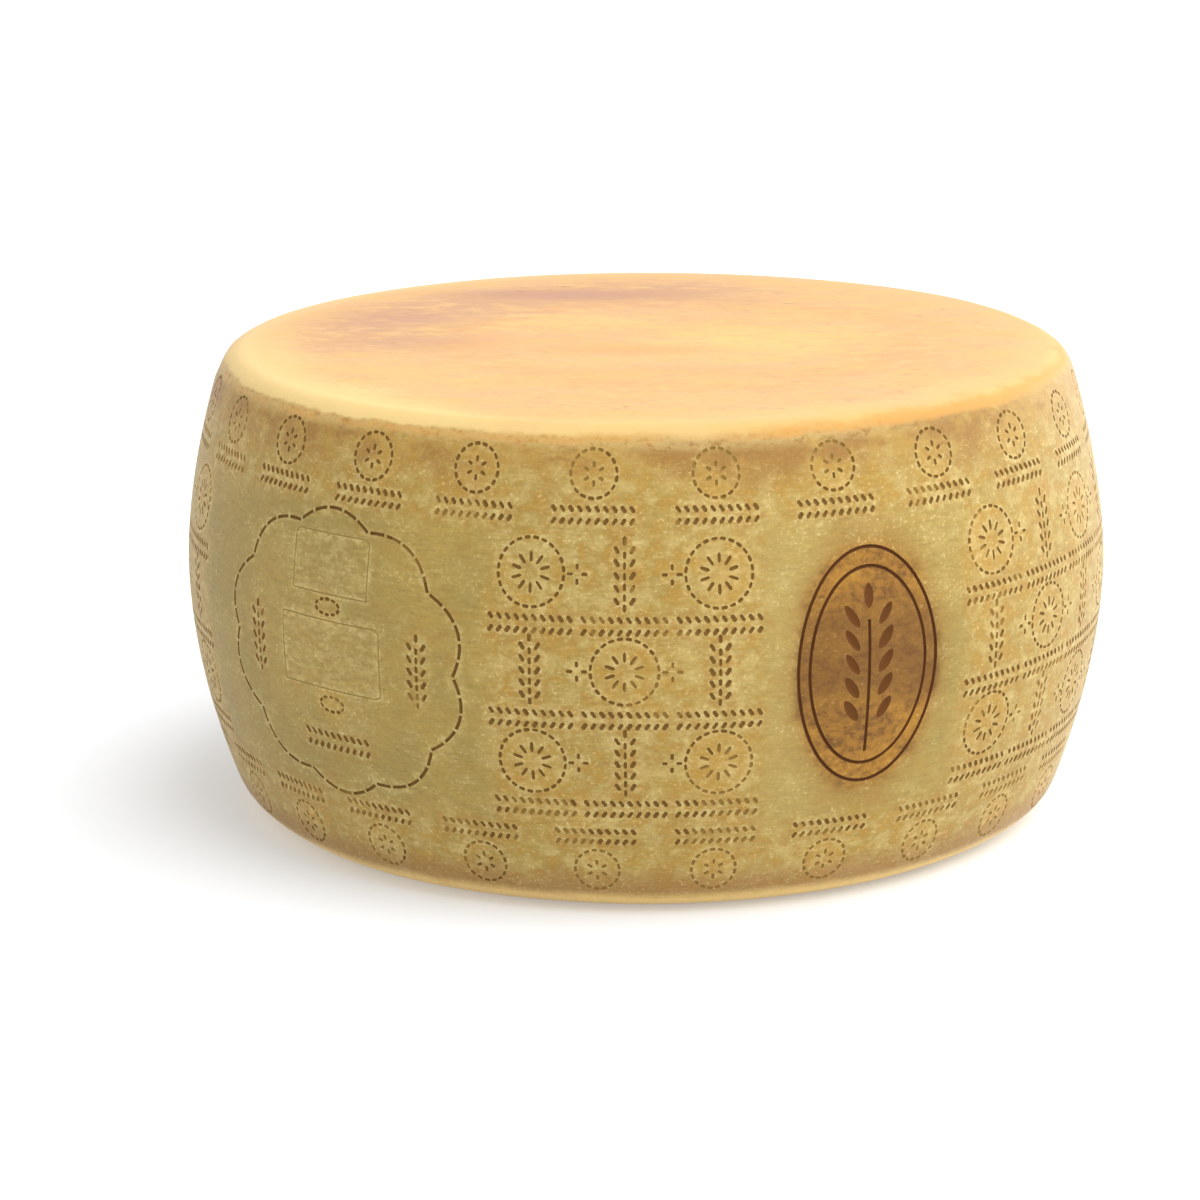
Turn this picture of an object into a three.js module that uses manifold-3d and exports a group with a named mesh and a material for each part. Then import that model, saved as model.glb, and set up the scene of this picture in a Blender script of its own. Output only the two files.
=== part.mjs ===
// A whole wheel of hard, long-aged cheese, in millimetres, +Z up.
// The wheel lies on one of its two flat faces. Its side, the rind, bulges like a barrel, and
// carries marks that were pressed into it: two large scalloped badges of dashes round a blank
// plate, and two burnt ovals with an ear of wheat. The origin is the centre of the lower face.
import * as THREE from "three";
import { mergeVertices } from "three/addons/utils/BufferGeometryUtils.js";
import Module from "manifold-3d";

// Driving dimensions
const wheelRadius = 215; // at its widest
const wheelHeight = 215;
const widestHeight = 117; // where the side bulges most
const topRadius = 195.8; // of the side, carried up through the rounded edge
const bottomRadius = 189;
const topCorner = 9.7; // radius of the rounded upper edge
const bottomCorner = 15.8;
const upperBulge = 1.79; // how quickly the side draws in above its widest height
const lowerBulge = 1.88;
const topDish = 1.1; // how far the middle of the upper face has sunk
const swellSize = 1; // scales the unevenness of the side

// Fineness of the turned body
const turnSteps = 90;
const sideSteps = 10;
const cornerSteps = 4;
const faceRings = [0.3, 0.6, 0.82]; // radii of rings on the faces, as shares of each face
const reach = 4; // how far a cutting tool stands out of the side

// The marks. Angles are in degrees from the front, towards the right.
const dashWidth = 1.6;
const dashDepth = 1.0;
const badge = {
  angles: [-39.5, 150],
  height: 109,
  wide: 142,
  tall: 128,
  scallops: 10,
  scallopDepth: 0.08, // as a share of the badge's size
  dashesPerScallop: 6,
  dashShare: 0.72, // of the outline that the dashes take
  plate: { wide: 58, tall: 31, line: 1.2, depth: 0.5 },
};
const oval = {
  angles: [26.2, -128],
  height: 111,
  wide: 66,
  tall: 103,
  line: 1.9,
  depth: 1.3,
  sink: 0.8, // the whole oval lies a little deeper than the rind round it
  innerShare: 0.84, // size of the inner outline
  outlineSteps: 36,
  grainPairs: 5,
  grainLength: 15,
  grainSpread: 9,
  grainTilt: 32,
};

const wasm = await Module();
wasm.setup();

const radians = THREE.MathUtils.degToRad;
const clamp = THREE.MathUtils.clamp;

// 1 at the middle of an oval mark, falling softly to 0 just outside its outline.
function insideOval(angle, z, centreAngle, mark) {
  const turn = Math.atan2(Math.sin(angle - centreAngle), Math.cos(angle - centreAngle));
  const across = (turn * wheelRadius) / (mark.wide / 2);
  const up = (z - mark.height) / (mark.tall / 2);
  return 1 - THREE.MathUtils.smoothstep(Math.hypot(across, up), 0.85, 1.12);
}

// Radius of the side at a height, before the unevenness.
function sideRadius(z) {
  const up = clamp((z - widestHeight) / (wheelHeight - widestHeight), 0, 1);
  const down = clamp((widestHeight - z) / widestHeight, 0, 1);
  const barrel =
    wheelRadius -
    (wheelRadius - topRadius) * up ** upperBulge -
    (wheelRadius - bottomRadius) * down ** lowerBulge;
  const intoTop = clamp((z - (wheelHeight - topCorner)) / topCorner, 0, 1);
  const intoBottom = clamp((bottomCorner - z) / bottomCorner, 0, 1);
  return (
    barrel -
    topCorner * (1 - Math.sqrt(1 - intoTop ** 2)) -
    bottomCorner * (1 - Math.sqrt(1 - intoBottom ** 2))
  );
}

// How far the side stands out of its turned form: a wheel is pressed by hand and sags as it ages.
function swell(angle, z) {
  const waves =
    0.6 * Math.cos(2 * angle - 1.2) +
    0.45 * Math.cos(4 * angle + 1.1 + z / 90) +
    0.35 * Math.sin(6 * angle - z / 38) +
    0.2 * Math.cos(10 * angle + z / 24);
  const sunk = oval.angles.map((a) => insideOval(angle, z, radians(a), oval));
  return swellSize * waves - oval.sink * Math.max(...sunk);
}

// How far the upper face lies below its edge, at a place on it.
function dip(x, y) {
  const rim = topRadius - topCorner;
  const inward = 1 - THREE.MathUtils.smoothstep(Math.hypot(x, y), rim * 0.3, rim * 0.98);
  const waves = 0.3 * Math.sin(x / 31 + y / 57) + 0.3 * Math.cos(y / 23 - x / 71);
  return inward * (topDish + waves);
}

// The turned profile, from the centre of the lower face to the centre of the upper one.
function profile() {
  const points = [new THREE.Vector2(0, 0)];
  const add = (z) => points.push(new THREE.Vector2(sideRadius(z), z));
  const lowerFace = sideRadius(0);
  const upperFace = sideRadius(wheelHeight);
  faceRings.forEach((share) => points.push(new THREE.Vector2(lowerFace * share, 0)));
  for (let i = 0; i <= cornerSteps; i++) {
    add(bottomCorner * (1 - Math.cos((Math.PI / 2) * (i / cornerSteps))));
  }
  const sideTop = wheelHeight - topCorner;
  for (let i = 1; i < sideSteps; i++) {
    add(bottomCorner + ((sideTop - bottomCorner) * i) / sideSteps);
  }
  for (let i = 0; i <= cornerSteps; i++) {
    add(sideTop + topCorner * Math.sin((Math.PI / 2) * (i / cornerSteps)));
  }
  faceRings
    .toReversed()
    .forEach((share) => points.push(new THREE.Vector2(upperFace * share, wheelHeight)));
  points.push(new THREE.Vector2(0, wheelHeight));
  return points;
}

// The wheel before it is marked: the turned profile, made uneven.
function wheelBody() {
  const body = new THREE.LatheGeometry(profile(), turnSteps).rotateX(Math.PI / 2);
  const places = body.getAttribute("position");
  const upperFace = sideRadius(wheelHeight);
  for (let i = 0; i < places.count; i++) {
    const [x, y, z] = [places.getX(i), places.getY(i), places.getZ(i)];
    const radius = Math.hypot(x, y);
    const angle = Math.atan2(x, -y);
    const outward = clamp(radius / upperFace, 0, 1) ** 2;
    const out = radius > 0 ? 1 + (outward * swell(angle, z)) / radius : 1;
    const down = z > wheelHeight - 1e-3 ? dip(x, y) : 0;
    places.setXYZ(i, x * out, y * out, z - down);
  }
  return body;
}

// Bends a flat tool onto the side: x goes round the wheel, y up it and z out of it.
function bend(geometry, centreAngle, centreHeight) {
  const places = geometry.getAttribute("position");
  for (let i = 0; i < places.count; i++) {
    const angle = centreAngle + places.getX(i) / wheelRadius;
    const z = centreHeight + places.getY(i);
    const radius = sideRadius(z) + swell(angle, z) + places.getZ(i);
    places.setXYZ(i, radius * Math.sin(angle), -radius * Math.cos(angle), z);
  }
  return geometry;
}

function solid(geometry) {
  geometry.deleteAttribute("normal");
  geometry.deleteAttribute("uv");
  const merged = mergeVertices(geometry, 1e-3);
  return new wasm.Manifold(
    new wasm.Mesh({
      numProp: 3,
      vertProperties: new Float32Array(merged.getAttribute("position").array),
      triVerts: new Uint32Array(merged.index.array),
    }),
  );
}

// A cutting tool with a flat outline, as deep as asked below the side.
function tool(shape, depth, angle, height) {
  const flat = new THREE.ExtrudeGeometry(shape, {
    depth: depth + reach,
    bevelEnabled: false,
  }).translate(0, 0, -depth);
  return solid(bend(flat, angle, height));
}

// A straight dash of a length and width, centred at x, y and turned by an angle.
function dashShape(x, y, length, width, turn) {
  const along = new THREE.Vector2(Math.cos(turn), Math.sin(turn)).multiplyScalar(length / 2);
  const aside = new THREE.Vector2(-Math.sin(turn), Math.cos(turn)).multiplyScalar(width / 2);
  const centre = new THREE.Vector2(x, y);
  const corner = (a, b) => centre.clone().addScaledVector(along, a).addScaledVector(aside, b);
  return new THREE.Shape([corner(-1, -1), corner(1, -1), corner(1, 1), corner(-1, 1)]);
}

// A grain of wheat: a pointed oval of four curves' corners.
function grainShape(x, y, length, turn) {
  const at = (u, v) =>
    new THREE.Vector2(u * length, v * length).rotateAround(new THREE.Vector2(), turn);
  const corners = [at(-0.5, 0), at(-0.05, -0.16), at(0.5, 0), at(-0.05, 0.16)];
  return new THREE.Shape(corners.map((c) => c.add(new THREE.Vector2(x, y))));
}

// A closed line of even width: the outline grown by half the width, less the one shrunk by it.
function lineShape(outline, width) {
  const offset = (side) =>
    outline.map((p, i) => {
      const before = outline.at(i - 1);
      const after = outline[(i + 1) % outline.length];
      const way = after.clone().sub(before).normalize();
      return new THREE.Vector2(p.x + (way.y * side * width) / 2, p.y - (way.x * side * width) / 2);
    });
  const shape = new THREE.Shape(offset(1));
  shape.holes.push(new THREE.Path(offset(-1)));
  return shape;
}

// Place on the badge's scalloped outline, for a share of the way round.
function badgePoint(share) {
  const turn = 2 * Math.PI * share;
  const bump = Math.abs(Math.sin((badge.scallops * turn) / 2));
  const size = 1 - badge.scallopDepth * (1 - bump);
  return new THREE.Vector2(
    (badge.wide / 2) * size * Math.cos(turn),
    (badge.tall / 2) * size * Math.sin(turn),
  );
}

function badgeTools(angle) {
  const tools = [];
  const dashes = badge.scallops * badge.dashesPerScallop;
  for (let i = 0; i < dashes; i++) {
    const start = badgePoint((i + 0.5 - badge.dashShare / 2) / dashes);
    const end = badgePoint((i + 0.5 + badge.dashShare / 2) / dashes);
    const middle = start.clone().add(end).multiplyScalar(0.5);
    const way = end.sub(start);
    const shape = dashShape(middle.x, middle.y, way.length(), dashWidth, way.angle());
    tools.push(tool(shape, dashDepth, angle, badge.height));
  }
  return tools.concat(plateTools(angle));
}

// The four thin lines that a plate's edge leaves in the rind.
function plateTools(angle) {
  const { wide, tall, line, depth } = badge.plate;
  return [-1, 1].flatMap((side) => [
    tool(dashShape(0, (side * tall) / 2, wide, line, 0), depth, angle, badge.height),
    tool(dashShape((side * wide) / 2, 0, tall, line, Math.PI / 2), depth, angle, badge.height),
  ]);
}

function ovalOutline(scale) {
  const points = [];
  for (let i = 0; i < oval.outlineSteps; i++) {
    const turn = (2 * Math.PI * i) / oval.outlineSteps;
    points.push(
      new THREE.Vector2(
        (oval.wide / 2) * scale * Math.cos(turn),
        (oval.tall / 2) * scale * Math.sin(turn),
      ),
    );
  }
  return points;
}

function ovalTools(angle) {
  const cut = (shape) => tool(shape, oval.depth, angle, oval.height);
  const tools = [1, oval.innerShare].map((scale) =>
    cut(lineShape(ovalOutline(scale), oval.line)),
  );
  const stemLength = oval.tall * 0.6;
  const topGrain = oval.tall * 0.28;
  tools.push(cut(dashShape(0, -oval.tall * 0.07, stemLength, oval.line, Math.PI / 2)));
  tools.push(cut(grainShape(0, topGrain + 3, oval.grainLength, Math.PI / 2)));
  for (let i = 0; i < oval.grainPairs; i++) {
    const y = topGrain - 4 - i * oval.grainLength * 0.72;
    for (const side of [-1, 1]) {
      const turn = Math.PI / 2 - side * radians(oval.grainTilt);
      tools.push(cut(grainShape(side * oval.grainSpread, y, oval.grainLength, turn)));
    }
  }
  return tools;
}

function markedWheel() {
  const tools = [
    ...badge.angles.flatMap((a) => badgeTools(radians(a))),
    ...oval.angles.flatMap((a) => ovalTools(radians(a))),
  ];
  const cut = solid(wheelBody()).subtract(wasm.Manifold.union(tools)).getMesh();
  const geometry = new THREE.BufferGeometry();
  geometry.setAttribute("position", new THREE.BufferAttribute(cut.vertProperties, 3));
  geometry.setIndex(new THREE.BufferAttribute(cut.triVerts, 1));
  geometry.computeVertexNormals();
  return geometry;
}

const rind = new THREE.MeshStandardMaterial({ color: 0xc6a65c, roughness: 0.62, metalness: 0 });

const wheel = new THREE.Group();
const cheeseWheel = new THREE.Mesh(markedWheel(), rind);
cheeseWheel.name = "cheese_wheel";
wheel.add(cheeseWheel);

export default wheel;
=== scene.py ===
# A whole wheel of hard, long-aged cheese on a pale floor. The rind is one closed mesh. Its ornament
# is drawn as flat lines, wrapped round the wheel and pressed into it by Geometry Nodes.
import bpy
import bmesh
import math
import numpy as np
from mathutils import Euler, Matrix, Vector


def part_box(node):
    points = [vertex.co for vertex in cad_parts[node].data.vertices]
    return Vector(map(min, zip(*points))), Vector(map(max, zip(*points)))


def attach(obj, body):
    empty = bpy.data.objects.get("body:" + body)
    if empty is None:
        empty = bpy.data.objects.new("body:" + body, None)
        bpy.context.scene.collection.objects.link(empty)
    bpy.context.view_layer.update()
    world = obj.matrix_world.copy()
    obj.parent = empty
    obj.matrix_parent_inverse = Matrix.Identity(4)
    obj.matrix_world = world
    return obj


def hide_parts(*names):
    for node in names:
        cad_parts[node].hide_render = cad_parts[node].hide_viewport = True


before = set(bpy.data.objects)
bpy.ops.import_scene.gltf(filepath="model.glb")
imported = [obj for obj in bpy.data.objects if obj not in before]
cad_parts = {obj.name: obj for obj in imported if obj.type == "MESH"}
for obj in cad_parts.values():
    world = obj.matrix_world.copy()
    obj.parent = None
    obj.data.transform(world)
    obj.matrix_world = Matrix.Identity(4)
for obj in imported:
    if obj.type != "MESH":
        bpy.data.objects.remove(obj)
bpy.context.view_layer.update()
lowCorner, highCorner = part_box("cheese_wheel")
mm = 0.001


# Node helpers
class Nodes:
    # A number or a colour given to a socket is set on it, and a socket is linked to it.
    def __init__(self, tree):
        self.tree = tree

    def put(self, socket, value):
        if isinstance(value, bpy.types.NodeSocket):
            self.tree.links.new(value, socket)
        elif value is not None:
            socket.default_value = value

    def give(self, node, inputs):
        for name, value in inputs.items():
            self.put(node.inputs[name], value)

    def add(self, kind, inputs=None, **settings):
        made = self.tree.nodes.new(kind)
        row, column = divmod(len(self.tree.nodes), 12)
        made.location = (column * 190, row * -260)
        for name, value in settings.items():
            setattr(made, name, value)
        self.give(made, inputs or {})
        return made

    def maths(self, operation, *values, clamp=False):
        return self.add("ShaderNodeMath", dict(enumerate(values)),
                        operation=operation, use_clamp=clamp).outputs[0]

    def plus(self, first, second, clamp=False):
        return self.maths("ADD", first, second, clamp=clamp)

    def minus(self, first, second):
        return self.maths("SUBTRACT", first, second)

    def times(self, first, second):
        return self.maths("MULTIPLY", first, second)

    # A value raised by a share of another one
    def shift(self, value, other, share):
        return self.plus(value, self.times(other, share))

    # 0 at low and 1 at high, level beyond both, with a soft start and end
    def fade(self, value, low, high):
        return self.add("ShaderNodeMapRange", {"Value": value, "From Min": low, "From Max": high},
                        interpolation_type="SMOOTHSTEP").outputs["Result"]

    def combine(self, x, y, z):
        return self.add("ShaderNodeCombineXYZ", {"X": x, "Y": y, "Z": z}).outputs[0]

    def vectorMaths(self, operation, *values):
        made = self.add("ShaderNodeVectorMath", dict(enumerate(values)), operation=operation)
        return made.outputs["Value" if operation == "LENGTH" else "Vector"]

    def length(self, x, y):
        return self.vectorMaths("LENGTH", self.combine(x, y, 0.0))

    def attribute(self, name):
        return self.add("ShaderNodeAttribute", attribute_name=name).outputs["Fac"]

    def noise(self, place, size, detail, roughness=0.5):
        return self.add("ShaderNodeTexNoise", {
            "Vector": place, "Scale": 1 / size, "Detail": detail,
            "Roughness": roughness}).outputs["Fac"]

    # Input 0 of the node is the share, 6 and 7 are the two colours; output 2 is a colour
    def mix(self, share, first, second, blend="MIX"):
        return self.add("ShaderNodeMix", {0: share, 6: first, 7: second},
                        data_type="RGBA", blend_type=blend).outputs[2]


def colour(red, green, blue):
    # from the 0 to 255 values that a colour picker shows
    def linear(value):
        value /= 255
        return value / 12.92 if value <= 0.04045 else ((value + 0.055) / 1.055) ** 2.4
    return (linear(red), linear(green), linear(blue), 1)


# Form of the wheel
wheelForm = {
    "height": highCorner[2] - lowCorner[2],
    "radius": 215 * mm,        # at its widest
    "widestHeight": 117 * mm,
    "topRadius": 195.8 * mm,   # of the side, carried up through the rounded edge
    "bottomRadius": 189 * mm,
    "topCorner": 9.7 * mm,     # radius of the rounded upper edge
    "bottomCorner": 15.8 * mm,
    "upperBulge": 1.79,        # how quickly the side draws in
    "lowerBulge": 1.88,
    "topDish": 1.1 * mm,       # how far the middle of the upper face has sunk
    "lipHeight": 207 * mm,     # of the shallow channel that runs under the rim
    "lipDepth": 0.9 * mm,
    "lipFade": (1 * mm, 5 * mm),   # from its deepest line
    "dishFade": (0.3, 0.98),   # in shares of the way out to the rim
    "turnSteps": 264,
    "sideSteps": 40,
    "cornerSteps": 7,
    "topRings": 15,
    "bottomRings": 5,
}

ovalMark = {
    "angles": (26.2, -128),    # degrees from the front, towards the right
    "height": 111 * mm,
    "wide": 66 * mm,
    "tall": 103 * mm,
    "sink": 0.8 * mm,
    "sinkFade": (0.85, 1.12),  # in shares of the way out to the outline
    "innerShare": 0.84,
    "grain": 12 * mm,
    "grainPairs": 5,
    "grainTilt": 34,           # degrees
    "grainGap": 4.6 * mm,      # between the stalk and a grain
    "grainStep": 0.86,         # in lengths of a grain
    # in heights of the oval above its middle
    "stalk": (-0.37, 0.2),
    "firstPair": 0.17,
    "topGrain": 0.24,
}


def smooth(value, low, high):
    share = np.clip((value - low) / (high - low), 0, 1)
    return share * share * (3 - 2 * share)


def sideRadius(z):
    form = wheelForm
    rise = form["height"] - form["widestHeight"]
    up = np.clip((z - form["widestHeight"]) / rise, 0, 1)
    down = np.clip((form["widestHeight"] - z) / form["widestHeight"], 0, 1)
    barrel = (form["radius"]
              - (form["radius"] - form["topRadius"]) * up ** form["upperBulge"]
              - (form["radius"] - form["bottomRadius"]) * down ** form["lowerBulge"])
    intoTop = np.clip((z - form["height"] + form["topCorner"]) / form["topCorner"], 0, 1)
    intoBottom = np.clip((form["bottomCorner"] - z) / form["bottomCorner"], 0, 1)
    return (barrel - form["topCorner"] * (1 - np.sqrt(1 - intoTop ** 2))
            - form["bottomCorner"] * (1 - np.sqrt(1 - intoBottom ** 2)))


# How far the side stands out of its turned form, pressed by hand and sagged with age
def swell(angle, z):
    waves = (0.6 * np.cos(2 * angle - 1.2) + 0.45 * np.cos(4 * angle + 1.1 + z / (90 * mm))
             + 0.35 * np.sin(6 * angle - z / (38 * mm)) + 0.2 * np.cos(10 * angle + z / (24 * mm)))
    sunk = 0
    for degrees in ovalMark["angles"]:
        turn = np.angle(np.exp(1j * (angle - math.radians(degrees))))
        across = turn * wheelForm["radius"] / (ovalMark["wide"] / 2)
        upward = (z - ovalMark["height"]) / (ovalMark["tall"] / 2)
        sunk = np.maximum(sunk, 1 - smooth(np.hypot(across, upward), *ovalMark["sinkFade"]))
    underRim = (1 - smooth(np.abs(z - wheelForm["lipHeight"]), *wheelForm["lipFade"])) * (
        0.55 + 0.3 * np.sin(3 * angle + 0.5) + 0.15 * np.sin(11 * angle))
    return waves * mm - ovalMark["sink"] * sunk - wheelForm["lipDepth"] * underRim


# How far the upper face lies below its edge
def topDip(x, y):
    rim = wheelForm["topRadius"] - wheelForm["topCorner"]
    inward = 1 - smooth(np.hypot(x, y), *(rim * share for share in wheelForm["dishFade"]))
    waves = 0.3 * np.sin(x / (31 * mm) + y / (57 * mm)) + 0.3 * np.cos(y / (23 * mm) - x / (71 * mm))
    return inward * (wheelForm["topDish"] + waves * mm)


# Radius and height of each ring of the mesh, from the lower face up the side to the upper face
def wheelRings():
    form = wheelForm
    top, low, high = form["height"], form["bottomCorner"], form["height"] - form["topCorner"]
    corner = np.linspace(0, math.pi / 2, form["cornerSteps"] + 1)
    heights = np.concatenate([
        low * (1 - np.cos(corner)),
        np.linspace(low, high, form["sideSteps"] + 1)[1:-1],
        high + form["topCorner"] * np.sin(corner)])
    side = [(sideRadius(z), z) for z in heights]
    lower = [(side[0][0] * share, 0) for share in np.linspace(0, 1, form["bottomRings"] + 1)[1:-1]]
    upper = [(side[-1][0] * share, top) for share in np.linspace(1, 0, form["topRings"] + 1)[1:-1]]
    return lower, side, upper


# One closed mesh, with a map "wrap" that is flat along the side: u goes round it and v up it
def makeRind():
    form, steps = wheelForm, wheelForm["turnSteps"]
    lower, side, upper = wheelRings()
    rings = np.array(lower + side + upper)
    angle = np.linspace(-math.pi, math.pi, steps, endpoint=False)
    radius, z = np.meshgrid(rings[:, 0], angle)[0].T, np.meshgrid(rings[:, 1], angle)[0].T
    turn = np.tile(angle, (len(rings), 1))
    share = np.clip(radius / side[-1][0], 0, 1) ** 2
    radius = radius + share * swell(turn, z)
    x, y = radius * np.sin(turn), -radius * np.cos(turn)
    z = z - np.where(z > form["height"] - 1e-6, topDip(x, y), 0)
    places = np.stack([x, y, z], axis=2).reshape(-1, 3).tolist()
    bottomPole, topPole = len(places), len(places) + 1
    places += [(0, 0, 0), (0, 0, form["height"] - float(topDip(0, 0)))]
    faces = []
    for ring in range(len(rings) - 1):
        for i in range(steps):
            after = (i + 1) % steps
            faces.append((ring * steps + i, ring * steps + after,
                          (ring + 1) * steps + after, (ring + 1) * steps + i))
    last = (len(rings) - 1) * steps
    for i in range(steps):
        after = (i + 1) % steps
        faces += [(bottomPole, after, i), (topPole, last + i, last + after)]
    mesh = bpy.data.meshes.new("cheeseRind")
    mesh.from_pydata(places, [], faces)
    sideFirst, sideLast = len(lower), len(lower) + len(side) - 2
    wrap = mesh.uv_layers.new(name="wrap")
    faceAside = 5             # keeps the flat faces well clear of the side on the map
    for face in mesh.polygons:
        ring, column = divmod(face.index, steps)
        onSide = sideFirst <= ring <= sideLast and face.index < (len(rings) - 1) * steps
        for corner in face.loop_indices:
            vertex = mesh.loops[corner].vertex_index
            if onSide:
                step = vertex % steps
                u = (step if step or column < steps - 1 else steps) / steps
                wrap.data[corner].uv = (u, rings[vertex // steps][1] / form["height"])
            else:
                wrap.data[corner].uv = (faceAside + places[vertex][0], faceAside + places[vertex][1])
    mesh.shade_smooth()
    rind = bpy.data.objects.new("cheese_rind", mesh)
    bpy.context.collection.objects.link(rind)
    return rind


rindForm = makeRind()
print("rind form:", len(rindForm.data.polygons), "faces")

# Ornament, drawn flat
# x goes round the wheel from the front, measured at its widest, and y up it.
dashKinds = {
    "fine": {"pitch": 3.9 * mm, "share": 0.84, "width": 1.45 * mm, "depth": 0.65 * mm},
    "bold": {"pitch": 3.6 * mm, "share": 0.98, "width": 1.8 * mm, "depth": 0.7 * mm},
    "grain": {"pitch": 20 * mm, "share": 1.0, "width": 4.4 * mm, "depth": 1.0 * mm},
}
lines = {"fine": [], "bold": [], "edge": [], "grain": [], "plate": [], "burnt": []}
pressedPatches = []            # middle, width and height of each close group of strokes


def arcOf(degrees):
    return math.radians(degrees) * wheelForm["radius"]


def closedLine(kind, x, y, wide, tall, steps=36):
    turns = [2 * math.pi * i / steps for i in range(steps)]
    points = [(x + wide / 2 * math.cos(turn), y + tall / 2 * math.sin(turn)) for turn in turns]
    lines[kind].append((points, True))


def stroke(kind, *points):
    lines[kind].append((list(points), False))


def flower(x, y, inner, outer, petals, start=0.5):
    for i in range(petals):
        turn = 2 * math.pi * (i + start) / petals
        stroke("fine", (x + inner * math.cos(turn), y + inner * math.sin(turn)),
               (x + outer * math.cos(turn), y + outer * math.sin(turn)))


earForm = {
    "wide": 9 * mm,
    "pairs": 5,
    "pairStep": 1.2,          # in lengths of a grain, as are the next two
    "firstPair": 1.75,
    "stalkEnd": 1.3,
    "gap": 2.2 * mm,          # between the stalk and a grain
    "tilt": 0.55,
}


def grainPair(kind, x, y, gap, grain, tilt):
    for side in (-1, 1):
        start = x + side * gap
        stroke(kind, (start, y), (start + side * grain * math.sin(tilt), y + grain * math.cos(tilt)))


def wheatEar(x, y, tall, grain):
    pressedPatches.append((x, y, earForm["wide"], tall))
    stroke("fine", (x, y - tall / 2), (x, y + tall / 2 - grain * earForm["stalkEnd"]))
    stroke("bold", (x, y + tall / 2 - grain), (x, y + tall / 2))
    for i in range(earForm["pairs"]):
        foot = y + tall / 2 - grain * earForm["firstPair"] - i * grain * earForm["pairStep"]
        grainPair("bold", x, foot, earForm["gap"], grain, earForm["tilt"])


# A band of slanted strokes in two rows, as on a braid
def braidBand(x, y, wide, tall, strokes):
    pressedPatches.append((x, y, wide, tall))
    step = wide / strokes
    for i in range(strokes):
        left = x - wide / 2 + step * (i + 0.2)
        for side in (-1, 1):
            stroke("bold", (left, y + side * tall * 0.5), (left + step * 0.6, y + side * tall * 0.12))


figures = {
    "columnStep": 10.7,       # degrees
    "rowHeights": (68 * mm, 109 * mm, 150 * mm),
    "blocks": ((-13.0, 3), (44.5, 8), (176.5, 4), (245.5, 5)),  # first column, number of columns
    "rowStep": 14.4,
    "rowStart": -20.4,
    "topRow": 194 * mm,
    "bottomRow": 25 * mm,
    "lift": 6 * mm,           # of a ring or an ear above its row's height
    "bandDrop": 15.5 * mm,    # of the braided band below it
    "ear": (32 * mm, 4.4 * mm),             # height, length of a grain
    "ring": (29 * mm, 29 * mm),
    "petals": (3.4 * mm, 9.6 * mm, 10),     # inner and outer reach, number
    "star": (1.3 * mm, 4.9 * mm, 4, 0),
    "band": (38 * mm, 8.6 * mm, 10),        # width, height, number of strokes
    "edgeLift": 2.5 * mm,
    "edgeBandDrop": 14 * mm,
    "edgeRing": (21 * mm, 20 * mm),
    "edgePetals": (2 * mm, 5.6 * mm, 6),
    "edgeBand": (38 * mm, 8 * mm, 10),
}


def ornament():
    for first, count in figures["blocks"]:
        for column in range(count):
            for row, y in enumerate(figures["rowHeights"]):
                x = arcOf(first + column * figures["columnStep"])
                upper = y + figures["lift"]
                if (column + row) % 2:
                    wheatEar(x, upper, *figures["ear"])
                else:
                    closedLine("fine", x, upper, *figures["ring"])
                    flower(x, upper, *figures["petals"])
                if column:
                    flower(x - arcOf(figures["columnStep"]) / 2, upper, *figures["star"])
                braidBand(x, y - figures["bandDrop"], *figures["band"])
    for i in range(round(360 / figures["rowStep"])):
        x = arcOf(figures["rowStart"] + i * figures["rowStep"])
        for y, flip in ((figures["topRow"], 1), (figures["bottomRow"], -1)):
            outer = y + flip * figures["edgeLift"]
            closedLine("fine", x, outer, *figures["edgeRing"])
            flower(x, outer, *figures["edgePetals"])
            braidBand(x, y - flip * figures["edgeBandDrop"], *figures["edgeBand"])


badgeMark = {
    "angles": (-39.5, 150),
    "height": 109 * mm,
    "wide": 142 * mm,
    "tall": 128 * mm,
    "scallops": 10,
    "scallopDepth": 0.08,
    "dashesPerScallop": 5,
    "dashShare": 0.84,
    # the rest in mm from the middle
    "panels": ((-15.5, 15.5, 58), (27, 53, 44)),   # bottom, top, width
    "bosses": (21.5, -22.5),
    "ears": 48,
    "braid": -40,
}


def badge(degrees):
    x, y = arcOf(degrees), badgeMark["height"]

    def scallop(turn):
        bump = abs(math.sin(badgeMark["scallops"] * turn / 2))
        return 1 - badgeMark["scallopDepth"] * (1 - bump)

    def edgePoint(turn):
        return (x + badgeMark["wide"] / 2 * scallop(turn) * math.cos(turn),
                y + badgeMark["tall"] / 2 * scallop(turn) * math.sin(turn))

    dashCount = badgeMark["scallops"] * badgeMark["dashesPerScallop"]
    for i in range(dashCount):
        turns = [2 * math.pi * (i + badgeMark["dashShare"] * step / 5) / dashCount for step in range(6)]
        stroke("edge", *[edgePoint(turn) for turn in turns])
    for low, high, wide in badgeMark["panels"]:
        corners = [(-wide / 2, low), (wide / 2, low), (wide / 2, high), (-wide / 2, high)]
        lines["plate"].append(([(x + u * mm, y + v * mm) for u, v in corners], True))
    for v in badgeMark["bosses"]:
        closedLine("fine", x, y + v * mm, 15 * mm, 7 * mm)
    for side in (-1, 1):
        wheatEar(x + side * badgeMark["ears"] * mm, y, 34 * mm, 4.6 * mm)
    braidBand(x, y + badgeMark["braid"] * mm, 40 * mm, 9 * mm, 10)


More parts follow.
